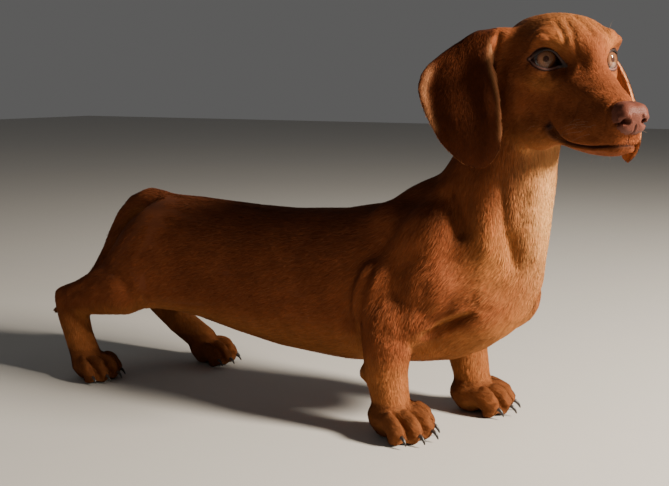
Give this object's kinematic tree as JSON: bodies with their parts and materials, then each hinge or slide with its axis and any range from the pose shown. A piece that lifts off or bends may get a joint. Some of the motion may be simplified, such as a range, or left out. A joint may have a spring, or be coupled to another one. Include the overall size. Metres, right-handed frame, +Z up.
{
  "type": "dachshund",
  "caption": "Life-size still model of a smooth-haired dachshund that stands on its four paws with its head turned to its right, for display.",
  "frame": {"origin": "middle of the dog's outline at floor level, between the four soles", "axes": "+X forwards along the spine towards the chest, +Y to the dog's left, +Z up"},
  "size_m": [0.6924, 0.1808, 0.3643],
  "materials": {
    "coat": "short smooth red hair that lies flat",
    "ear_coat": "finer and darker red hair on the ears",
    "nose_leather": "damp pebbled liver-brown leather",
    "claw_horn": "dark polished horn",
    "eye_glass": "glossy amber-brown glass eye"
  },
  "bodies": {
    "root": {"head": "coat", "neck": "coat", "chest": "coat", "belly": "coat", "rump": "coat", "tail": "coat", "foreleg_right": "coat", "foreleg_left": "coat", "hindleg_right": "coat", "hindleg_left": "coat", "paw_front_right": "coat", "paw_front_left": "coat", "paw_hind_right": "coat", "paw_hind_left": "coat", "ear_right": "ear_coat", "ear_left": "ear_coat", "nose": "nose_leather", "eye_right": "eye_glass", "eye_left": "eye_glass", "claw_front_right_1": "claw_horn", "claw_front_right_2": "claw_horn", "claw_front_right_3": "claw_horn", "claw_front_right_4": "claw_horn", "claw_front_left_1": "claw_horn", "claw_front_left_2": "claw_horn", "claw_front_left_3": "claw_horn", "claw_front_left_4": "claw_horn", "claw_hind_right_1": "claw_horn", "claw_hind_right_2": "claw_horn", "claw_hind_right_3": "claw_horn", "claw_hind_right_4": "claw_horn", "claw_hind_left_1": "claw_horn", "claw_hind_left_2": "claw_horn", "claw_hind_left_3": "claw_horn", "claw_hind_left_4": "claw_horn"}
  },
  "joints": []
}
